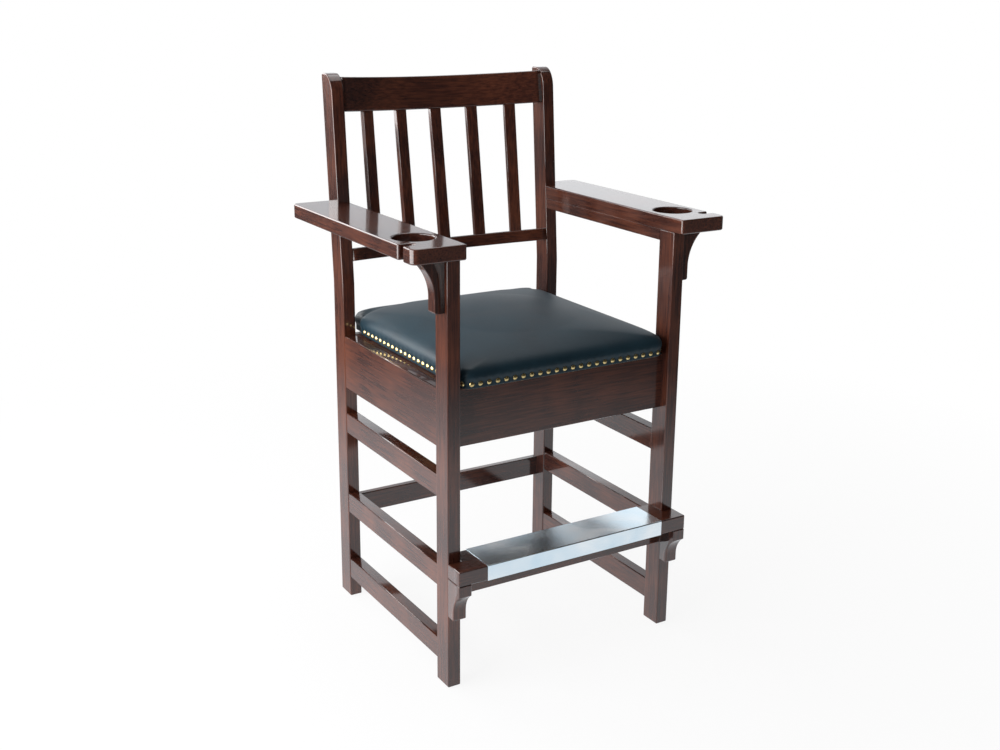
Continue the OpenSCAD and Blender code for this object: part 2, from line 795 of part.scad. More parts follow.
function rings(profile) = [for (p = profile) each seat_ring(p[0], p[1])];
function strips(levels, n, base, outward) = [
    for (k = [0:levels - 2]) for (i = [0:n - 1])
        let (a = base + k * n + i, b = base + k * n + (i + 1) % n)
        each outward ? [[a, a + n, b + n], [a, b + n, b]] : [[a, b + n, a + n], [a, b, b + n]]];
function fan(base, n, tip, outward) = [
    for (i = [0:n - 1]) let (a = base + i, b = base + (i + 1) % n) outward ? [a, tip, b] : [a, b, tip]];

module seat_cover() {
    outside = seat_profile();
    inside = concat([[leather_t, leather_z]], [for (i = [1:len(outside) - 1]) lined(outside, i)]);
    n = RING_N;
    levels = len(outside);
    inner_base = levels * n + 1;
    points = concat(
        rings(outside), [[0, seat_mid_y, crown_z]],
        rings(inside), [[0, seat_mid_y, crown_z - leather_t]]
    );
    faces = concat(
        strips(levels, n, 0, true), fan((levels - 1) * n, n, levels * n, true),
        strips(levels, n, inner_base, false), fan(inner_base + (levels - 1) * n, n, inner_base + levels * n, false),
        [for (i = [0:n - 1]) let (j = (i + 1) % n)
            each [[i, j, inner_base + j], [i, inner_base + j, inner_base + i]]]
    );
    color(leather) centred() polyhedron(points, faces, convexity = 4);
}

// The padding fills the leather above the seat board
module seat_foam() {
    outside = seat_profile();
    first = 3;
    upper = [for (i = [first:len(outside) - 1]) lined(outside, i)];
    profile = concat([[leather_t, board_top]], upper);
    n = RING_N;
    levels = len(profile);
    points = concat(rings(profile), [[0, seat_mid_y, crown_z - leather_t], [0, seat_mid_y, board_top]]);
    faces = concat(
        strips(levels, n, 0, true), fan((levels - 1) * n, n, levels * n, true),
        [for (i = [0:n - 1]) [i, (i + 1) % n, levels * n + 1]]
    );
    color(foam_tone) centred() polyhedron(points, faces, convexity = 4);
}

// The board clears the leather's facets at the corners by a hair
board_gap = 0.3;
module seat_base() {
    lap = leather_t + board_gap;
    plan = seat_ring(lap, 0);
    color(pale_wood) centred() difference() {
        translate([0, 0, apron_top]) linear_extrude(seat_board_t) polygon([for (p = plan) [p[0], p[1]]]);
        seat_screw_set(joint_gap);
        nail_places() translate([joint_gap, 0, 0]) nail_shank(0);
    }
}

// Nails run from the middle of the seat's front round its corner and along its side up to the notch
nail_straight_w = seat_half_w - seat_corner_r;
nail_arc = PI * seat_corner_r / 2;
nail_run = nail_straight_w + nail_arc + notch_y - notch_r - seat_front - seat_corner_r;
nail_n = round(nail_run / nail_pitch);
nail_step = nail_run / nail_n;
// Place on the edge at a distance from the front's middle, as [x, y, outward direction]
function edge_at(s) =
    let (bend = s - nail_straight_w, along = bend - nail_arc, w = -90 + 90 * bend / nail_arc, r = seat_corner_r)
    bend <= 0 ? [s, seat_front, -90]
    : along <= 0 ? [nail_straight_w + r * cos(w), seat_front + r + r * sin(w), w]
    : [seat_half_w, seat_front + r + along, 0];

module nail_places() {
    for (side = [0, 1]) mirror([side, 0, 0]) for (i = [0:nail_n - 1])
        let (at = edge_at((i + 0.5) * nail_step))
        translate([at[0], at[1], leather_z + nail_z]) rotate([0, 0, at[2]]) children();
}

nail_shank_r = 1;
nail_shank_l = 14;
module nail_shank(start) {
    rotate([0, -90, 0]) translate([0, 0, start]) cylinder(r = nail_shank_r, h = nail_shank_l - start);
}

// A domed head, whose rim just clears the leather, on a straight shank driven into the board
module nail() {
    dome_r = (nail_r * nail_r + nail_h * nail_h) / (2 * nail_h);
    rotate([0, 90, 0]) rotate_extrude() intersection() {
        translate([0, nail_h - dome_r]) circle(r = dome_r);
        square([nail_r, nail_h]);
    }
    nail_shank(-EPS);
}

module seat_nails() {
    color(brass) centred() nail_places() translate([joint_gap, 0, 0]) nail();
}

// What holds the seat down

cleat_front = leg_inside + block_side_l;
cleat_rear = rear_front - block_side_l;
block_z = apron_top - cleat_h;
cleat_screw_in = 40;
// From the cleat's inner face, so that the screws enter the board past the nails' shanks
cleat_screw_edge = 10;
cleat_screw_ys = [cleat_front + cleat_screw_in, cleat_rear - cleat_screw_in];
// Places of the corner blocks' screws, clear of the aprons
block_screw_in = 24;

module seat_screw(x, y, gap) {
    translate([x, y, block_z]) {
        translate([0, 0, -screw_head_h]) cylinder(r = screw_head_r, h = screw_head_h);
        cylinder(r = screw_r + gap, h = cleat_h + screw_bite + gap);
    }
}

module seat_screw_set(gap) {
    for (way = [0, 1]) mirror([way, 0, 0]) {
        for (y = cleat_screw_ys)
            seat_screw(side_inner - cleat_w + cleat_screw_edge, y, gap);
        seat_screw(inner_x - block_screw_in, front_apron_y + cross_t + block_screw_in, gap);
        seat_screw(inner_x - block_screw_in, rear_apron_y - block_screw_in, gap);
    }
}

module seat_screws() {
    color(zinc) centred() seat_screw_set(0);
}

module seat_cleat() {
    color(pale_wood) difference() {
        translate([side_inner - cleat_w, cleat_front, block_z])
            cube([cleat_w, cleat_rear - cleat_front, cleat_h]);
        seat_screw_set(joint_gap);
    }
}

// A block fills the corner between an apron, a leg and the side apron
module corner_block(apron_face, leg_face, way) {
    translate([0, 0, block_z]) linear_extrude(cleat_h) polygon([
        [inner_x - block_cross_l, apron_face], [inner_x, apron_face], [inner_x, leg_face],
        [side_inner, leg_face], [side_inner, leg_face + way * block_side_l]
    ]);
}

module seat_corner_blocks() {
    color(pale_wood) centred() difference() {
        for (side = [0, 1]) mirror([side, 0, 0]) {
            corner_block(front_apron_y + cross_t, leg_inside, 1);
            corner_block(rear_apron_y, rear_front, -1);
        }
        seat_screw_set(joint_gap);
    }
}

module leg_glides() {
    color(steel) both_sides() for (y = [leg_front + leg_d / 2, rear_back - leg_d / 2]) {
        translate([outer_x - leg_w / 2, y, 0]) cylinder(r = glide_r, h = glide_t);
        glide_pin(y, 0);
    }
}

on_side(-1) front_leg();  // front_leg_left
on_side(1) front_leg();  // front_leg_right
on_side(-1) rear_leg();  // rear_leg_left
on_side(1) rear_leg();  // rear_leg_right
front_apron();
rear_apron();
on_side(-1) side_apron();  // side_apron_left
on_side(1) side_apron();  // side_apron_right
on_side(-1) side_stretcher(upper_stretcher_z);  // upper_stretcher_left
on_side(1) side_stretcher(upper_stretcher_z);  // upper_stretcher_right
on_side(-1) side_stretcher(middle_stretcher_z);  // middle_stretcher_left
on_side(1) side_stretcher(middle_stretcher_z);  // middle_stretcher_right
on_side(-1) side_stretcher(lower_stretcher_z);  // lower_stretcher_left
on_side(1) side_stretcher(lower_stretcher_z);  // lower_stretcher_right
rear_stretcher();
footrest_rail();
footrest_board();
footrest_plate();
on_side(-1) footrest_corbel();  // footrest_corbel_left
on_side(1) footrest_corbel();  // footrest_corbel_right
footrest_screws();
on_side(-1) arm_rail();  // arm_rail_left
on_side(1) arm_rail();  // arm_rail_right
on_side(-1) armrest();  // armrest_left
on_side(1) armrest();  // armrest_right
on_side(-1) arm_corbel();  // arm_corbel_left
on_side(1) arm_corbel();  // arm_corbel_right
arm_screws();
corbel_dowels();
crest_rail();
lower_back_rail();
back_slat(0);  // back_slat_1
back_slat(1);  // back_slat_2
back_slat(2);  // back_slat_3
back_slat(3);  // back_slat_4
back_slat(4);  // back_slat_5
seat_base();
seat_foam();
seat_cover();
seat_nails();
on_side(-1) seat_cleat();  // seat_cleat_left
on_side(1) seat_cleat();  // seat_cleat_right
seat_corner_blocks();
seat_screws();
leg_glides();
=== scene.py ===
import math

import bmesh
import bpy
from mathutils import Matrix, Vector


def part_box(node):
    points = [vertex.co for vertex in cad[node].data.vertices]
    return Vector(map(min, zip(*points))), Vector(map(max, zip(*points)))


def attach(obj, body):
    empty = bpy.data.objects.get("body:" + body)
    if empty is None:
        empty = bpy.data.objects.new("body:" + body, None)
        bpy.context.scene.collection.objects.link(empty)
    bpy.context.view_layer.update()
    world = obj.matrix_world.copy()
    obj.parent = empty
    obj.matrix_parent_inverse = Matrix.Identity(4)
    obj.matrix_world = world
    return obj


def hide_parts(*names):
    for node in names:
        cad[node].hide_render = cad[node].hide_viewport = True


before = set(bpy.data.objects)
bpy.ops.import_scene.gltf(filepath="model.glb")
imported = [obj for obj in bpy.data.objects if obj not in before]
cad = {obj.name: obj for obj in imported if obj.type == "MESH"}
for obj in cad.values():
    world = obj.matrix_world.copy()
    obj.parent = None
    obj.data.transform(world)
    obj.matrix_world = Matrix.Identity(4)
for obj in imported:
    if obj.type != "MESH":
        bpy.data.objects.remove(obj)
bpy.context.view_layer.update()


# Front legs. Straight hardwood posts, one board of 31 x 53 mm each from the floor to the armrest,
# with eased arrises. They are stained dark brown and sprayed with a glossy clear lacquer.
leg_lo, leg_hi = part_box("front_leg_right")
arm_lo, arm_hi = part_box("armrest_right")
EASED = 0.0026
EASE_STEPS = 3
SAME = 1e-6
FACE_WEIGHT = 100


class Shade:
    """One socket of a material, on which sums and products add their own Math nodes."""

    def __init__(self, tree, socket=None):
        self.tree = tree
        self.socket = socket

    def node(self, kind, settings=None, inputs=None, output=0):
        """Adds a node and gives one of its output sockets."""
        made = self.tree.nodes.new(kind)
        for key, value in (settings or {}).items():
            setattr(made, key, value)
        for key, value in (inputs or {}).items():
            if isinstance(value, Shade):
                self.tree.links.new(value.socket, made.inputs[key])
            elif isinstance(value, tuple) and len(made.inputs[key].default_value) == 4:
                made.inputs[key].default_value = (*value, 1)
            else:
                made.inputs[key].default_value = value
        return Shade(self.tree, made.outputs[output])

    def maths(self, operation, a, b):
        return self.node("ShaderNodeMath", {"operation": operation}, {0: a, 1: b})

    def __add__(self, other):
        return self.maths("ADD", self, other)

    def __rsub__(self, other):
        return self.maths("SUBTRACT", other, self)

    def __mul__(self, other):
        return self.maths("MULTIPLY", self, other)

    __radd__ = __add__

    def between(self, low, high):
        """0 below low, 1 above high and a straight rise between them."""
        return self.node("ShaderNodeMapRange", {"clamp": True}, {0: self, 1: low, 2: high})

    def mix(self, a, b):
        """Colour a where this is 0 and colour b where it is 1."""
        return self.node("ShaderNodeMix", {"data_type": "RGBA"}, {0: self, 6: a, 7: b}, 2)

    def noise(self, where, scale, detail, distortion=0.0):
        return self.node("ShaderNodeTexNoise", {}, {
            "Vector": where, "Scale": scale, "Detail": detail, "Distortion": distortion})

    def object_place(self, scale=(1, 1, 1), shift=(0, 0, 0)):
        """Object coordinates, stretched along an axis whose scale is small."""
        place = self.node("ShaderNodeTexCoord", output="Object")
        return self.node("ShaderNodeMapping", {}, {"Vector": place, "Scale": scale, "Location": shift})

    def bump(self, height, distance, strength):
        return self.node("ShaderNodeBump", {}, {
            "Height": height, "Distance": distance, "Strength": strength})


def finish(name, build, **constants):
    """A material. build(shade) gives the linked sockets, and constants set the shader's own ones."""
    material = bpy.data.materials.new(name)
    material.use_nodes = True
    tree = material.node_tree
    shader = tree.nodes["Principled BSDF"]
    for key, value in constants.items():
        shader.inputs[key.replace("_", " ")].default_value = value
    for key, made in build(Shade(tree)).items():
        tree.links.new(made.socket, shader.inputs[key])
    return material


STAIN_DEEP = (0.019, 0.0054, 0.0037)
STAIN_BODY = (0.060, 0.0160, 0.0092)
STAIN_WARM = (0.128, 0.0365, 0.0165)
GRAIN_STRETCH = 0.045


def stained_wood(run, name, lacquer=1.0):
    """Stained wood whose grain runs along axis 0, 1 or 2, under full or thin lacquer."""
    stretch = [1.0, 1.0, 1.0]
    stretch[run] = GRAIN_STRETCH

    def build(shade):
        place = shade.object_place(tuple(stretch), (0.37 * run, 0.11, 0.23 * run))
        cloud = shade.noise(shade.object_place(), 7.0, 2.0, 0.3)
        figure = shade.noise(place, 62.0, 4.0, 0.6)
        streak = shade.noise(place, 240.0, 3.0, 0.2)
        pore = shade.noise(place, 900.0, 2.0)
        tone = (figure * 0.34 + streak * 0.42 + cloud * 0.28).between(0.28, 0.72)
        colour = tone.mix(STAIN_DEEP, STAIN_BODY)
        colour = (cloud * 0.5 + streak * 0.5).between(0.44, 0.76).mix(colour, STAIN_WARM)
        colour = pore.between(0.60, 0.80).mix(colour, STAIN_DEEP)
        return {
            "Base Color": colour,
            "Roughness": 0.34 + streak * 0.16,
            "Normal": shade.bump(pore * 0.4 + streak * 0.6, 0.00016, 0.35),
        }

    return finish(name, build, Coat_Weight=lacquer, Coat_Roughness=0.10, Coat_IOR=1.65, IOR=1.45,
                  Specular_IOR_Level=0.1)


grain = [stained_wood(run, "stained_wood_" + "xyz"[run]) for run in range(3)]


def placed(name, data):
    """A new object in the scene."""
    made = bpy.data.objects.new(name, data)
    bpy.context.scene.collection.objects.link(made)
    return made


def mesh_from(bm, name):
    """A mesh with all that is in a bmesh, which ends here."""
    mesh = bpy.data.meshes.new(name)
    bm.to_mesh(mesh)
    bm.free()
    return mesh


def shade_smooth(mesh):
    mesh.polygons.foreach_set("use_smooth", [True] * len(mesh.polygons))


def piece(bm, name, material, slot, *stands_for):
    """Turns a bmesh into a finished piece that stands for CAD nodes."""
    bmesh.ops.recalc_face_normals(bm, faces=bm.faces)
    mesh = mesh_from(bm, name)
    mesh.materials.append(material)
    shade_smooth(mesh)
    made = placed(name, mesh)
    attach(made, "root")
    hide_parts(*stands_for)
    return made


def even_shading(made):
    """Wide faces keep their own direction, so only the eased arrises shade round."""
    modifier = made.modifiers.new("even_shading", "WEIGHTED_NORMAL")
    modifier.weight = FACE_WEIGHT
    modifier.keep_sharp = True


def wooden(bm, node, run):
    """The finished piece for a wooden node, with its grain along an axis."""
    even_shading(piece(bm, node + "_timber", grain[run], "lacquered_wood", node))


def ease(bm, edges, radius=EASED, steps=EASE_STEPS):
    """Rounds edges over to a radius."""
    bmesh.ops.bevel(bm, geom=edges, offset=radius, segments=steps, profile=0.5, affect="EDGES",
                    offset_type="OFFSET", material=-1, clamp_overlap=True)


def runs_along(edge, axis):
    """Whether an edge lies along axis 0, 1 or 2."""
    return all(abs(edge.verts[0].co[k] - edge.verts[1].co[k]) < SAME for k in range(3) if k != axis)


def timber(node, low, high, run, butts=True, seam=EASED):
    """A straight member. Its long arrises are eased, and its ends too where they don't butt a leg.
    A smaller seam keeps the arrises on top crisp, where another board lies on them."""
    low, high = Vector(low), Vector(high)
    bm = bmesh.new()
    bmesh.ops.create_cube(bm, size=1)
    bmesh.ops.scale(bm, vec=high - low, verts=bm.verts)
    bmesh.ops.translate(bm, vec=(low + high) / 2, verts=bm.verts)
    eased = [e for e in bm.edges if runs_along(e, run) or not butts]
    on_top = [e for e in eased if seam < EASED and min(v.co.z for v in e.verts) > (low.z + high.z) / 2]
    ease(bm, [e for e in eased if e not in on_top])
    if on_top:
        ease(bm, on_top, seam)
    wooden(bm, node, run)


SIDES = {"left": -1, "right": 1}


def side_box(side, low, high):
    """The same box on either side of the chair, from its right-hand corners."""
    if side > 0:
        return low, high
    return (-high[0], low[1], low[2]), (-low[0], high[1], high[2])


for word, side in SIDES.items():
    low, high = side_box(side, leg_lo, (leg_hi.x, leg_hi.y, arm_lo.z))
    timber("front_leg_" + word, low, high, run=2, butts=False)


# Rear legs. Each is sawn from one board: upright to above the seat, then leaning back as the post
# of the chair's back. The post's top is rounded over from the front.
rear_lo, rear_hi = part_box("rear_leg_right")
LEG_D = leg_hi.y - leg_lo.y
BEND_H = 0.813
POST_LEAN = math.radians(4.4)
POST_ROUND_D = 0.032
POST_ROUND_H = 0.046
POST_ROUND_STEPS = 20
POST_REAR_R = 0.005
POST_REAR_STEPS = 4


def post_front(z):
    """The place of a rear leg's front face at a height."""
    return rear_lo.y + math.tan(POST_LEAN) * max(z - BEND_H, 0)


def outlined(points, push):
    """A board: its outline as one face, drawn out along push."""
    bm = bmesh.new()
    face = bm.faces.new([bm.verts.new(p) for p in points])
    drawn = bmesh.ops.extrude_face_region(bm, geom=[face])
    far = [v for v in drawn["geom"] if isinstance(v, bmesh.types.BMVert)]
    bmesh.ops.translate(bm, vec=push, verts=far)
    bmesh.ops.recalc_face_normals(bm, faces=bm.faces)
    return bm


def rims(bm, axis):
    """The edges round a board's two outlined faces."""
    places = [v.co[axis] for v in bm.verts]
    ends = (min(places), max(places))
    return [e for e in bm.edges
            if any(all(abs(v.co[axis] - end) < SAME for v in e.verts) for end in ends)]


def mirrored(bm, side):
    """A right-hand board, turned into the left-hand one where side is -1."""
    if side < 0:
        bmesh.ops.scale(bm, vec=(-1, 1, 1), verts=bm.verts)
    return bm


def arc(x, y, radius, start, stop, steps):
    """Points round a centre, from one angle in degrees to another."""
    turns = [math.radians(start + (stop - start) * i / steps) for i in range(steps + 1)]
    return [(x + radius * math.cos(w), y + radius * math.sin(w)) for w in turns]


def post_outline():
    top = rear_hi.z
    points = [(rear_lo.y, rear_lo.z), (rear_lo.y + LEG_D, rear_lo.z), (rear_lo.y + LEG_D, BEND_H)]
    for i in range(POST_REAR_STEPS + 1):
        turn = math.radians(90 * i / POST_REAR_STEPS)
        z = top - POST_REAR_R * (1 - math.sin(turn))
        points.append((post_front(z) + LEG_D - POST_REAR_R * (1 - math.cos(turn)), z))
    for i in range(POST_ROUND_STEPS, -1, -1):
        turn = math.radians(90 * i / POST_ROUND_STEPS)
        z = top - POST_ROUND_H * (1 - math.sin(turn))
        points.append((post_front(z) + POST_ROUND_D * (1 - math.cos(turn)), z))
    return points + [(rear_lo.y, BEND_H)]


for word, side in SIDES.items():
    bm = outlined([(rear_lo.x, y, z) for y, z in post_outline()], (rear_hi.x - rear_lo.x, 0, 0))
    ease(bm, rims(bm, 0))
    wooden(mirrored(bm, side), "rear_leg_" + word, 2)


# Aprons. Four deep boards, tenoned between the legs just under the seat. The side ones lie almost
# flush with the legs' outer faces, and the front and rear ones are set back.
def side_members(name, back, seam=EASED):
    """A pair of straight members that run back from the front legs."""
    lo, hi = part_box(name + "_right")
    for word, side in SIDES.items():
        low, high = side_box(side, (lo.x, leg_hi.y, lo.z), (hi.x, back, hi.z))
        timber(name + "_" + word, low, high, run=1, seam=seam)


def cross_member(node):
    """A straight member between two legs."""
    lo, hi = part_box(node)
    timber(node, (-leg_lo.x, lo.y, lo.z), (leg_lo.x, hi.y, hi.z), run=0)


side_members("side_apron", rear_lo.y)
cross_member("front_apron")
cross_member("rear_apron")


# Stretchers. Three a side, one above another, and one across the back, tenoned between the legs.
for level in ("upper", "middle", "lower"):
    side_members(level + "_stretcher", rear_lo.y)
cross_member("rear_stretcher")


# Footrest. A thick board notched round the front legs, on a rail between them and on a sawn corbel
# in front of each leg. Three screws under the steel fix it to its rail.
cross_member("footrest_rail")
step_lo, step_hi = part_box("footrest_board")
plan = [(step_lo.x, step_lo.y), (step_hi.x, step_lo.y), (step_hi.x, leg_lo.y), (leg_lo.x, leg_lo.y),
        (leg_lo.x, step_hi.y), (-leg_lo.x, step_hi.y), (-leg_lo.x, leg_lo.y), (step_lo.x, leg_lo.y)]
bm = outlined([(x, y, step_lo.z) for x, y in plan], (0, 0, step_hi.z - step_lo.z))
corners = [e for e in bm.edges if runs_along(e, 2) and e.verts[0].co.y < leg_lo.y - EASED]
ease(bm, rims(bm, 2) + corners)
wooden(bm, "footrest_board", 0)

corbel_lo, corbel_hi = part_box("footrest_corbel_right")
NOSE_H = 0.026
FOOT_COVE_H = 0.046
FOOT_REACH = 0.0245
FOOT_CORNER_R = 0.004
CORBEL_EASED = 0.002


def cove_radius(rise, height):
    """Radius of a hollow that is upright at its foot and reaches out by rise over its height."""
    return (rise ** 2 + height ** 2) / (2 * rise)


def footrest_corbel_outline():
    back, top, foot = corbel_hi.y, corbel_hi.z, corbel_hi.y - FOOT_REACH
    radius = cove_radius(foot - corbel_lo.y, FOOT_COVE_H)
    first = math.degrees(math.asin(FOOT_COVE_H / radius))
    return ([(back, top), (corbel_lo.y, top)]
            + arc(foot - radius, top - NOSE_H - FOOT_COVE_H, radius, first, 0, 12)
            + arc(foot + FOOT_CORNER_R, corbel_lo.z + FOOT_CORNER_R, FOOT_CORNER_R, 180, 270, 4)
            + [(back, corbel_lo.z)])


for word, side in SIDES.items():
    bm = outlined([(corbel_lo.x, y, z) for y, z in footrest_corbel_outline()],
                  (corbel_hi.x - corbel_lo.x, 0, 0))
    nose = [e for e in bm.edges if runs_along(e, 0) and e.verts[0].co.y < corbel_lo.y + SAME]
    seen = [e for e in rims(bm, 0) if min(v.co.y for v in e.verts) < corbel_hi.y - SAME]
    ease(bm, seen + nose, CORBEL_EASED)
    wooden(mirrored(bm, side), "footrest_corbel_" + word, 2)


# Footrest plate. One sheet of stainless steel, polished and folded over the board's front edge, so
# that shoes don't wear the wood. It is glued down and its cut edges are deburred.
plate_lo, plate_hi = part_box("footrest_plate")
SHEET_T = 0.0012
FOLD_R = 0.0022
FOLD_STEPS = 5
DEBURRED = 0.0003
STEEL_DARK = (0.62, 0.75, 0.83)
STEEL_LIGHT = (0.89, 0.92, 0.93)


def brushed(shade):
    place = shade.object_place((0.06, 1.0, 1.0))
    line = shade.noise(place, 900.0, 3.0)
    haze = shade.noise(shade.object_place(), 9.0, 3.0, 0.5)
    worn = (haze * 0.8 + line * 0.2).between(0.4, 0.7)
    return {
        "Base Color": worn.mix(STEEL_DARK, STEEL_LIGHT),
        "Roughness": 0.18 + worn * 0.10,
        "Normal": shade.bump(line, 0.00002, 0.15),
    }


polished_steel = finish("polished_steel", brushed, Metallic=1.0)
inner_y, inner_z = plate_lo.y + SHEET_T, plate_hi.z - SHEET_T
bm = outlined([(plate_lo.x, y, z) for y, z in (
    (plate_lo.y, plate_lo.z), (inner_y, plate_lo.z), (inner_y, inner_z), (plate_hi.y, inner_z),
    (plate_hi.y, plate_hi.z), (plate_lo.y, plate_hi.z))], (plate_hi.x - plate_lo.x, 0, 0))


def folds(bm, y, z):
    """The edge along the sheet at a place in its side view."""
    return [e for e in bm.edges if runs_along(e, 0)
            and abs(e.verts[0].co.y - y) < SAME and abs(e.verts[0].co.z - z) < SAME]


ease(bm, folds(bm, plate_lo.y, plate_hi.z), FOLD_R, FOLD_STEPS)
ease(bm, folds(bm, inner_y, inner_z), FOLD_R - SHEET_T, FOLD_STEPS)
ease(bm, rims(bm, 0), DEBURRED, 2)
even_shading(piece(bm, "footrest_plate_sheet", polished_steel, "polished_steel", "footrest_plate"))


# Arm rails. A slim rail under each armrest, tenoned into the front leg and the post. Where it meets
# the armrest both keep a crisp edge, so the seam between them is a fine line.
SEAM = 0.0007
side_members("arm_rail", post_front(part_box("arm_rail_right")[0].z), SEAM)


# Armrests. Broad boards that run past the outside of the posts, each bored for a cup and notched in
# its outer edge to hold a cue. Every edge a hand meets is rounded over.
ARM_EASED = 0.0032
ARM_STEPS = 4
CUP_R = 0.045
CUP_BACK = 0.116
CUP_DEPTH = 0.022
CUP_LIP = 0.0035
CUP_FLOOR_R = 0.002
CUP_STEPS = 96
CUT_ABOVE = 0.004
CUE_R = 0.0095
CUE_BACK = 0.054
CUE_IN = 0.023
LIP_R = 0.006
ARM_FRONT_R = 0.016
ARM_INNER_R = 0.006
ARM_REAR_R = 0.014


def armrest_plan(strip_end):
    """The right armrest's plan. The strip inside the legs stops at the front of the post."""
    x0, x1, y0, y1 = leg_lo.x, arm_hi.x, arm_lo.y, arm_hi.y
    cue_y, cue_x = y0 + CUE_BACK, x1 - CUE_IN
    return (arc(x0 + ARM_INNER_R, y0 + ARM_INNER_R, ARM_INNER_R, 180, 270, 8)
            + arc(x1 - ARM_FRONT_R, y0 + ARM_FRONT_R, ARM_FRONT_R, 270, 360, 12)
            + arc(x1 - LIP_R, cue_y - CUE_R - LIP_R, LIP_R, 0, 90, 6)
            + arc(cue_x, cue_y, CUE_R, 270, 90, 16)
            + arc(x1 - LIP_R, cue_y + CUE_R + LIP_R, LIP_R, 270, 360, 6)
            + arc(x1 - ARM_REAR_R, y1 - ARM_REAR_R, ARM_REAR_R, 0, 90, 10)
            + [(leg_hi.x, y1), (leg_hi.x, strip_end), (x0, strip_end)])


def cup_cutter(side):
    """The turned shape that the bore and its rounded lip take out of the board."""
    centre = Vector((side * (leg_lo.x + arm_hi.x) / 2, arm_lo.y + CUP_BACK, 0))
    top, floor = arm_hi.z, arm_hi.z - CUP_DEPTH
    line = ([(0, floor)]
            + arc(CUP_R - CUP_FLOOR_R, floor + CUP_FLOOR_R, CUP_FLOOR_R, 270, 360, 4)
            + arc(CUP_R + CUP_LIP, top - CUP_LIP, CUP_LIP, 180, 90, 6)
            + [(CUP_R + CUP_LIP, top + CUT_ABOVE), (0, top + CUT_ABOVE)])
    bm = bmesh.new()
    points = [bm.verts.new((r, 0, z)) for r, z in line]
    edges = [bm.edges.new(pair) for pair in zip(points, points[1:])]
    bmesh.ops.spin(bm, geom=points + edges, cent=(0, 0, 0), axis=(0, 0, 1), angle=2 * math.pi,
                   steps=CUP_STEPS, use_merge=True)
    bmesh.ops.remove_doubles(bm, verts=bm.verts, dist=SAME)
    bmesh.ops.recalc_face_normals(bm, faces=bm.faces)
    bmesh.ops.translate(bm, vec=centre, verts=bm.verts)
    return placed("cup_cutter", mesh_from(bm, "cup_cutter"))


def settle(made):
    """Makes a piece's modifiers part of its mesh."""
    bpy.context.view_layer.update()
    result = bpy.data.meshes.new_from_object(made.evaluated_get(bpy.context.evaluated_depsgraph_get()))
    made.modifiers.clear()
    made.data = result
    shade_smooth(result)


def bore(made, cutter):
    """Takes the cutter's shape out of a piece."""
    modifier = made.modifiers.new("bore", "BOOLEAN")
    modifier.operation = "DIFFERENCE"
    modifier.solver = "EXACT"
    modifier.object = cutter
    settle(made)
    bpy.data.objects.remove(cutter)


def meets_post(edge, strip_end):
    """Whether an edge of the right armrest lies against the post."""
    return all(v.co.x < leg_hi.x + SAME and v.co.y > strip_end - SAME for v in edge.verts)


def at_seam(edge):
    """Whether it is the lower edge that meets the arm rail."""
    return all(abs(v.co.x - leg_lo.x) < SAME and v.co.z < arm_lo.z + SAME for v in edge.verts)


for word, side in SIDES.items():
    strip_end = post_front(arm_lo.z)
    bm = outlined([(x, y, arm_lo.z) for x, y in armrest_plan(strip_end)], (0, 0, arm_hi.z - arm_lo.z))
    for v in bm.verts:
        if abs(v.co.y - strip_end) < SAME and v.co.z > arm_lo.z + SAME:
            v.co.y = post_front(v.co.z)
    rounded = [e for e in rims(bm, 2) if not meets_post(e, strip_end) and not at_seam(e)]
    ease(bm, rounded, ARM_EASED, ARM_STEPS)
    ease(bm, [e for e in bm.edges if at_seam(e)], SEAM)
    node = "armrest_" + word
    made = piece(mirrored(bm, side), node + "_timber", grain[1], "lacquered_wood", node)
    bore(made, cup_cutter(side))
    even_shading(made)


# Arm corbels. A sawn bracket with a long hollow curve under each armrest, dowelled to the outer face
# of the front leg.
bracket_lo, bracket_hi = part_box("arm_corbel_right")
ARM_COVE_H = 0.084
BRACKET_FOOT = 0.0225
BRACKET_R = 0.005
BRACKET_EASED = 0.0024


def arm_corbel_outline():
    x0, x1, top, low = bracket_lo.x, bracket_hi.x, bracket_hi.z, bracket_lo.z
    foot = x0 + BRACKET_FOOT
    radius = cove_radius(x1 - foot, ARM_COVE_H)
    last = 180 - math.degrees(math.asin(ARM_COVE_H / radius))
    return ([(x0, top), (x0, low)] + arc(foot - BRACKET_R, low + BRACKET_R, BRACKET_R, 270, 360, 4)
            + arc(foot + radius, top - ARM_COVE_H, radius, 180, last, 16))


for word, side in SIDES.items():
    bm = outlined([(x, bracket_lo.y, z) for x, z in arm_corbel_outline()],
                  (0, bracket_hi.y - bracket_lo.y, 0))
    seen = [e for e in rims(bm, 1) if max(v.co.x for v in e.verts) > bracket_lo.x + SAME]
    ease(bm, seen, BRACKET_EASED)
    wooden(mirrored(bm, side), "arm_corbel_" + word, 2)


# Crest rail and lower back rail. Both are bowed boards, tenoned between the posts, and lean back more
# than the posts do.
BACK_LEAN = math.radians(9.1)
CREST = {"z": 1.215, "inset": 0.0055, "bow": 0.059, "t": 0.019, "h": 0.079}
LOWER = {"z": 0.866, "inset": 0.0, "bow": 0.037, "t": 0.019, "h": 0.030}
CREST_EASED = 0.003
BOW_STEPS = 40


def bow_radius(rail):
    """Radius of a rail's front face, which bows back between the posts."""
    return (leg_lo.x ** 2 + rail["bow"] ** 2) / (2 * rail["bow"])


def sag(rail, x):
    """How far a rail's front face lies behind its ends."""
    radius = bow_radius(rail)
    return rail["bow"] - radius + math.sqrt(radius ** 2 - x * x)


def rail_place(rail):
    """Where a rail stands on the posts, leaning back."""
    return Matrix.Translation((0, post_front(rail["z"]) + rail["inset"], rail["z"])) @ Matrix.Rotation(
        -BACK_LEAN, 4, "X")


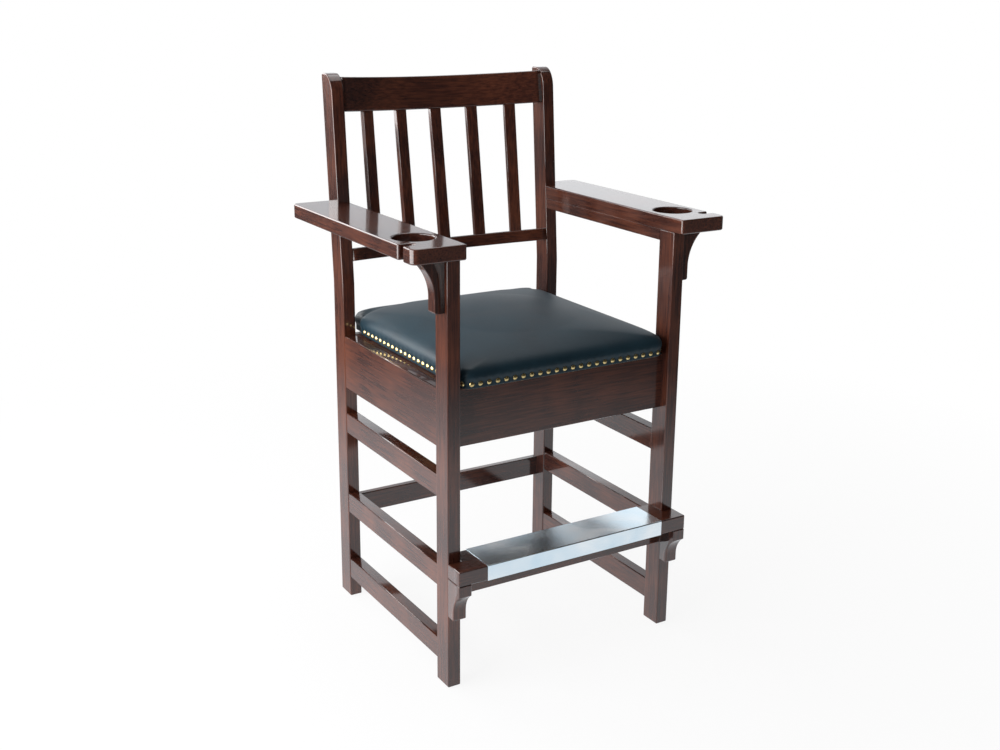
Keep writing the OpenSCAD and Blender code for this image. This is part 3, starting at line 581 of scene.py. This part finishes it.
def rear_face(rail, x):
    """How far a rail's rear face lies behind the ends of its front face."""
    radius = bow_radius(rail)
    return rail["bow"] - radius + math.sqrt((radius + rail["t"]) ** 2 - x * x)


def bowed(rail, node, easing):
    """A rail: its bowed plan drawn up to its height, eased and set in place."""
    xs = [leg_lo.x * (2 * i / BOW_STEPS - 1) for i in range(BOW_STEPS + 1)]
    plan = [(x, sag(rail, x), 0) for x in xs] + [(x, rear_face(rail, x), 0) for x in reversed(xs)]
    bm = outlined(plan, (0, 0, rail["h"]))
    ease(bm, [e for e in rims(bm, 2) if abs(e.verts[0].co.x - e.verts[1].co.x) > SAME], easing)
    bmesh.ops.transform(bm, matrix=rail_place(rail), verts=bm.verts)
    wooden(bm, node, 0)


bowed(CREST, "crest_rail", CREST_EASED)
bowed(LOWER, "lower_back_rail", EASED)


# Back slats. Five straight slats, tenoned into both rails, each turned to follow their bow.
SLAT_N = 5
SLAT_PITCH = 0.098
SLAT_W = 0.029
SLAT_T = 0.015
SLAT_INSET = 0.003
SLAT_HIDDEN = 0.006
SLAT_EASED = 0.0022
for i in range(SLAT_N):
    x = (i - (SLAT_N - 1) / 2) * SLAT_PITCH
    foot = rail_place(LOWER) @ Vector((0, sag(LOWER, x) + SLAT_INSET, LOWER["h"]))
    head = rail_place(CREST) @ Vector((0, sag(CREST, x) + SLAT_INSET, 0))
    run = head - foot
    turn = -math.asin(x * (1 / bow_radius(CREST) + 1 / bow_radius(LOWER)) / 2)
    bm = bmesh.new()
    bmesh.ops.create_cube(bm, size=1)
    bmesh.ops.scale(bm, vec=(SLAT_W, SLAT_T, run.length + 2 * SLAT_HIDDEN), verts=bm.verts)
    ease(bm, [e for e in bm.edges if runs_along(e, 2)], SLAT_EASED)
    bmesh.ops.translate(bm, vec=(0, SLAT_T / 2, run.length / 2), verts=bm.verts)
    place = (Matrix.Translation((x, foot.y, foot.z)) @ Matrix.Rotation(-math.atan2(run.y, run.z), 4, "X")
             @ Matrix.Rotation(turn, 4, "Z"))
    bmesh.ops.transform(bm, matrix=place, verts=bm.verts)
    wooden(bm, "back_slat_" + str(i + 1), 2)


# Hidden carcase. Stained and thinly lacquered cleats and corner blocks carry a seat board of bare
# plywood. Zinc plated screws hold it, the arms and the footrest, and bare beech dowels the arm corbels.
# The chair stands on nail-on glides.
RAW_DARK = (0.33, 0.20, 0.105)
RAW_LIGHT = (0.55, 0.38, 0.22)
ZINC_DARK = (0.46, 0.47, 0.48)
ZINC_LIGHT = (0.62, 0.63, 0.64)


def raw_timber(shade):
    place = shade.object_place((1.0, 0.06, 1.0))
    rings = shade.noise(place, 70.0, 3.0, 0.8)
    fleck = shade.noise(place, 420.0, 2.0)
    tone = (rings * 0.7 + fleck * 0.3).between(0.35, 0.68)
    return {
        "Base Color": tone.mix(RAW_DARK, RAW_LIGHT),
        "Roughness": 0.62 + fleck * 0.2,
        "Normal": shade.bump(fleck, 0.0002, 0.4),
    }


def plated(shade):
    patch = shade.noise(shade.object_place(), 160.0, 3.0)
    return {
        "Base Color": patch.between(0.35, 0.7).mix(ZINC_DARK, ZINC_LIGHT),
        "Roughness": 0.26 + patch * 0.2,
    }


def dress(node, material):
    """Gives a CAD mesh its material."""
    cad[node].data.materials.clear()
    cad[node].data.materials.append(material)


bare_wood = finish("bare_wood", raw_timber)
thin_lacquer = stained_wood(1, "thinly_lacquered_wood", lacquer=0.2)
zinc = finish("zinc_plate", plated, Metallic=1.0)
for material, nodes in (
        (thin_lacquer, ("seat_cleat_left", "seat_cleat_right", "seat_corner_blocks")),
        (bare_wood, ("seat_base", "corbel_dowels")),
        (zinc, ("seat_screws", "footrest_screws", "arm_screws", "leg_glides"))):
    for node in nodes:
        dress(node, material)


# Seat. A foam pad on the board under one hide of dark leather, drawn down smooth over rounded
# front corners, tucked in round the rear legs and nailed along the front and the sides.
SEAT_FRONT_R = 0.026
NOTCH_R = 0.008
NOTCH_W = 0.010
NOTCH_FILL = 0.006
NOTCH_FADE = 0.040
EDGE_D = 0.005
ROUNDING = 1.6
BULGE = 0.003
FULLNESS = 2.3
NAIL_STEPS = 35
AROUND = 280
DOME_STEPS = 56
DOME_CROWDING = 1.15
LEATHER_Z = 0.6875
BAND_TOP = LEATHER_Z + 0.0155
BOARD_TOP = 0.709
SWELL_Z = BOARD_TOP + 0.002
HIDE_T = 0.0018
LEAST_R = 0.001
HEM = 0.001
GATHER_D = 0.0007
GATHER_H = 0.010
TUCK_D = 0.0042
TUCK_W = 0.011
TUCK_BACK = 0.012
TUCK_BOW = 0.010
TUCK_HALF_W = 0.25
TUCK_FROM = 0.06
TUCK_RISE = 0.18
TUCK_INSET = 0.004
SEAT_HALF_W = 0.2645
SEAT_SETBACK = 0.0025
TONGUE_D = 0.046
NOTCH_GAP = 0.010
LEATHER_DEEP = (0.0050, 0.0180, 0.0280)
LEATHER_PALE = (0.0100, 0.0310, 0.0450)
seat_front = leg_lo.y + SEAT_SETBACK
seat_back = rear_lo.y + TONGUE_D
seat_half_d = (seat_back - seat_front) / 2
notch_y = rear_lo.y - NOTCH_GAP
seat_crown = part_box("seat_cover")[1].z


def corner_radius(inset):
    """The plan's corners tighten over the edge, and then grow rounder up the crown."""
    radius = SEAT_FRONT_R - min(inset, EDGE_D) + ROUNDING * max(inset - EDGE_D, 0)
    return min(radius, SEAT_HALF_W - inset - LEAST_R, seat_half_d - inset - LEAST_R)


def half_plan(inset):
    """The right half of the seat's plan at an inset, from the front's middle to the back's."""
    a, front, back = SEAT_HALF_W - inset, seat_front + inset, seat_back - inset
    r = corner_radius(inset)
    tight = max(NOTCH_R - min(inset, EDGE_D), LEAST_R)
    f = min(max(inset / NOTCH_FADE, 0), 1)
    f = f * f * (3 - 2 * f)
    inner, y = a - NOTCH_W, notch_y + NOTCH_FILL - inset
    notched = (arc(a - tight, y - tight, tight, 0, 90, 7) + [(inner, y)]
               + arc(inner - tight, back - tight, tight, 0, 90, 7))
    plain = arc(a - r, back - r, r, 0, 90, len(notched) - 1)
    corner = [(p[0] * (1 - f) + q[0] * f, p[1] * (1 - f) + q[1] * f) for p, q in zip(notched, plain)]
    return [(0, front)] + arc(a - r, front + r, r, -90, 0, 20) + corner + [(0, back)]


def spaced(points, count):
    """count + 1 points at even distances along a line."""
    lengths = [math.dist(p, q) for p, q in zip(points, points[1:])]
    total = sum(lengths)
    made = []
    i = 0
    walked = 0.0
    for k in range(count + 1):
        at = total * k / count
        while i < len(lengths) - 1 and walked + lengths[i] < at:
            walked += lengths[i]
            i += 1
        f = min(max((at - walked) / lengths[i], 0), 1)
        p, q = points[i], points[i + 1]
        made.append((p[0] + (q[0] - p[0]) * f, p[1] + (q[1] - p[1]) * f))
    return made


def gather(share, z):
    """How far the hide stands out between two nails, a little over the nailed edge."""
    along = share * half_length
    if along > nail_length or z < LEATHER_Z + HEM:
        return 0.0
    wave = math.cos(2 * math.pi * along / nail_length * NAIL_STEPS)
    return GATHER_D * wave * math.exp(-((z - BAND_TOP) / GATHER_H) ** 2)


def tuck(x, y):
    """Depth of the soft valley in front of the tongue, deepest beside the notches."""
    line = notch_y + TUCK_BACK + TUCK_BOW * (1 - min(abs(x) / TUCK_HALF_W, 1))
    near = math.exp(-((y - line) / TUCK_W) ** 2)
    return TUCK_D * near * min(max((abs(x) - TUCK_FROM) / TUCK_RISE, 0), 1) ** 1.2


outer_plan = half_plan(0)
half_length = sum(math.dist(p, q) for p, q in zip(outer_plan, outer_plan[1:]))
nail_length = (SEAT_HALF_W - SEAT_FRONT_R + math.pi * SEAT_FRONT_R / 2
               + notch_y - NOTCH_R - seat_front - SEAT_FRONT_R)


def seat_ring(inset, z):
    """One ring round the hide, gathered between the nails and drawn down in front of the tongue."""
    half = spaced(half_plan(inset), AROUND)
    ring = []
    for k, (x, y) in enumerate(half):
        before, after = half[max(k - 1, 0)], half[min(k + 1, AROUND)]
        way = Vector((after[1] - before[1], before[0] - after[0], 0)).normalized()
        out = gather(k / AROUND, z)
        lower = tuck(x, y) if inset > TUCK_INSET else 0
        ring.append(Vector((x, y, z - lower)) + way * out)
    return ring + [Vector((-p.x, p.y, p.z)) for p in ring[-2:0:-1]]


def dome_point(f):
    """Inset and height on the crown, at a share of the way from its edge to its middle."""
    turn = math.radians(90 * f)
    return (min(SEAT_HALF_W, seat_half_d) * (1 - math.cos(turn) ** (2 / FULLNESS)) - BULGE,
            SWELL_Z + (seat_crown - SWELL_Z) * math.sin(turn) ** (2 / FULLNESS))


# From the board's top, down inside the hide, round its lower edge, up the nailed band and over
profile = [(HIDE_T, BOARD_TOP), (HIDE_T, LEATHER_Z + 0.0004), (0.0009, LEATHER_Z), (0, LEATHER_Z + 0.0008),
           (0, LEATHER_Z + 0.004), (0, LEATHER_Z + 0.008), (0, LEATHER_Z + 0.012),
           (-0.0002, BAND_TOP - 0.0015), (-0.0009, BAND_TOP + 0.001), (-BULGE * 0.72, BAND_TOP + 0.004)]
profile += [dome_point((i / DOME_STEPS) ** DOME_CROWDING) for i in range(DOME_STEPS - 1)]

bm = bmesh.new()
loops = []
for inset, z in profile:
    ring = [bm.verts.new(p) for p in seat_ring(inset, z)]
    loops.append([bm.edges.new((ring[k], ring[(k + 1) % len(ring)])) for k in range(len(ring))])
for low, high in zip(loops, loops[1:]):
    bmesh.ops.bridge_loops(bm, edges=low + high)
for rim in (loops[0], loops[-1]):
    cap = bmesh.ops.contextual_create(bm, geom=rim)["faces"]
    bmesh.ops.poke(bm, faces=cap)


def hide(shade):
    place = shade.object_place()
    cloud = shade.noise(place, 9.0, 3.0, 0.4)
    pebble = shade.node("ShaderNodeTexVoronoi", {"feature": "F1"}, {"Vector": place, "Scale": 620.0})
    crease = shade.noise(place, 260.0, 4.0, 0.8)
    return {
        "Base Color": cloud.between(0.3, 0.72).mix(LEATHER_DEEP, LEATHER_PALE),
        "Roughness": 0.40 + cloud * 0.08 + crease * 0.06,
        "Normal": shade.bump(pebble * 0.6 + crease * 0.5, 0.00022, 0.30),
    }


leather = finish("dark_leather", hide, IOR=1.5, Specular_IOR_Level=0.3)
cushion = piece(bm, "seat_cushion", leather, "leather", "seat_cover", "seat_foam")


# Seat nails. Domed brass heads in one row, a little tarnished where polish doesn't reach.
BRASS_CLEAN = (0.74, 0.58, 0.27)
BRASS_DULL = (0.52, 0.39, 0.17)


def tarnished(shade):
    patch = shade.noise(shade.object_place(), 210.0, 3.0)
    return {
        "Base Color": patch.between(0.4, 0.7).mix(BRASS_CLEAN, BRASS_DULL),
        "Roughness": 0.20 + patch * 0.14,
        "Normal": shade.bump(shade.noise(shade.object_place(), 700.0, 2.0), 0.0001, 0.3),
    }


dress("seat_nails", finish("brass", tarnished, Metallic=1.0))


# Studio. White paper under and behind the chair, a broad soft light on its left and weaker ones
# behind, above and on its right. Polish shows the paper bright near the chair and dim further off.
def light_path(shade, rays):
    """1 for one kind of ray, 0 for the rest."""
    return Shade(shade.tree, shade.tree.nodes.new("ShaderNodeLightPath").outputs[rays])


def watched(shade):
    """1 for rays from the camera and for those that polish and metal send on, 0 for the rest."""
    rays = [light_path(shade, name) for name in ("Is Camera Ray", "Is Glossy Ray", "Is Transmission Ray")]
    return rays[0].maths("MAXIMUM", rays[0].maths("MAXIMUM", rays[0], rays[1]), rays[2])


def surface(name, build):
    """A material with no nodes but those of build(shade)."""
    material = bpy.data.materials.new(name)
    material.use_nodes = True
    tree = material.node_tree
    tree.nodes.clear()
    out = tree.nodes.new("ShaderNodeOutputMaterial")
    tree.links.new(build(Shade(tree)).socket, out.inputs["Surface"])
    return material


WHITE = (1.0, 1.0, 1.0)
COOL = (0.94, 0.965, 1.0)
PAPER = (0.82, 0.82, 0.83)
FLOOR_REACH = 20
NEAR = 0.6
FAR = 2.4
NEAR_GLOW = 0.90
POOL_NEAR = 1.2
POOL_FAR = 2.5
POOL_DIM = 0.88


def paper(shade):
    """White that glows wherever it is watched, but matt enough by the chair to take its shadow."""
    away = shade.node("ShaderNodeVectorMath", {"operation": "LENGTH"}, {0: shade.object_place()}, 1)
    glowing = away.between(NEAR, FAR) * (1 - NEAR_GLOW) + NEAR_GLOW
    polish = light_path(shade, "Is Glossy Ray")
    matt = shade.node("ShaderNodeBsdfDiffuse", {}, {"Color": PAPER})
    glow = shade.node("ShaderNodeEmission", {}, {
        "Color": polish.mix(WHITE, COOL),
        "Strength": 1 - polish * away.between(POOL_NEAR, POOL_FAR) * POOL_DIM})
    return shade.node("ShaderNodeMixShader", {}, {0: watched(shade) * glowing, 1: matt, 2: glow})


bm = bmesh.new()
bmesh.ops.create_grid(bm, x_segments=1, y_segments=1, size=FLOOR_REACH)
paper_floor = placed("paper_floor", mesh_from(bm, "paper_floor"))
paper_floor.data.materials.append(surface("paper", paper))

ROOM_LIGHT = 0.14
FRONT_DIM = 0.95
DIM_FROM = -0.1
DIM_TO = 0.35
world = bpy.data.worlds.new("studio")
bpy.context.scene.world = world
world.use_nodes = True
world.node_tree.nodes.clear()
sky = Shade(world.node_tree)
way = sky.node("ShaderNodeSeparateXYZ", {}, {0: sky.node("ShaderNodeTexCoord", output="Generated")}, 1)
polish = light_path(sky, "Is Glossy Ray")
dim = polish * (1 - way.between(DIM_FROM, DIM_TO)) * FRONT_DIM
room = sky.node("ShaderNodeBackground", {}, {
    "Color": polish.mix(WHITE, COOL),
    "Strength": watched(sky) * (1 - ROOM_LIGHT - dim) + ROOM_LIGHT})
out = world.node_tree.nodes.new("ShaderNodeOutputWorld")
world.node_tree.links.new(room.socket, out.inputs["Surface"])


def soft_light(name, place, aim_z, size, power, in_polish=True):
    """A broad light, out of the camera's sight, that points at a height on the chair's middle line."""
    data = bpy.data.lights.new(name, "AREA")
    data.shape = "RECTANGLE"
    data.size, data.size_y = size
    data.energy = power
    made = placed(name, data)
    made.location = place
    made.rotation_euler = (Vector((0, 0, aim_z)) - Vector(place)).to_track_quat("-Z", "Y").to_euler()
    made.visible_camera = False
    made.visible_glossy = in_polish


soft_light("left_softbox", (-2.9, 0.1, 1.35), 0.8, (3.4, 2.4), 175)
soft_light("rear_left_softbox", (-1.7, 3.3, 2.1), 0.7, (2.8, 2.0), 80)
soft_light("rear_right_softbox", (2.9, 3.4, 1.75), 0.8, (1.5, 0.85), 1.6)
soft_light("top_softbox", (0.3, 0.2, 3.4), 0.7, (2.0, 2.0), 26)
soft_light("right_fill", (2.8, -1.2, 1.6), 0.7, (1.4, 2.0), 9, in_polish=False)


# Camera. It stands at the photograph's viewpoint: in front, to the left and above the arms.
EYE = (-1.5191, -2.5063, 1.5164)
TURN = math.radians(-31.527)
TILT = math.radians(90 - 16.041)
ROLL = 0.0102
lens = bpy.data.cameras.new("camera")
lens.sensor_width = 36.0
lens.lens = 46.13
lens.shift_x = -0.0068
lens.shift_y = -0.0288
lens.clip_end = 100
camera = placed("camera", lens)
camera.matrix_world = (Matrix.Translation(EYE) @ Matrix.Rotation(TURN, 4, "Z")
                       @ Matrix.Rotation(TILT, 4, "X") @ Matrix.Rotation(ROLL, 4, "Z"))
bpy.context.scene.camera = camera
bpy.context.scene.view_settings.view_transform = "Standard"
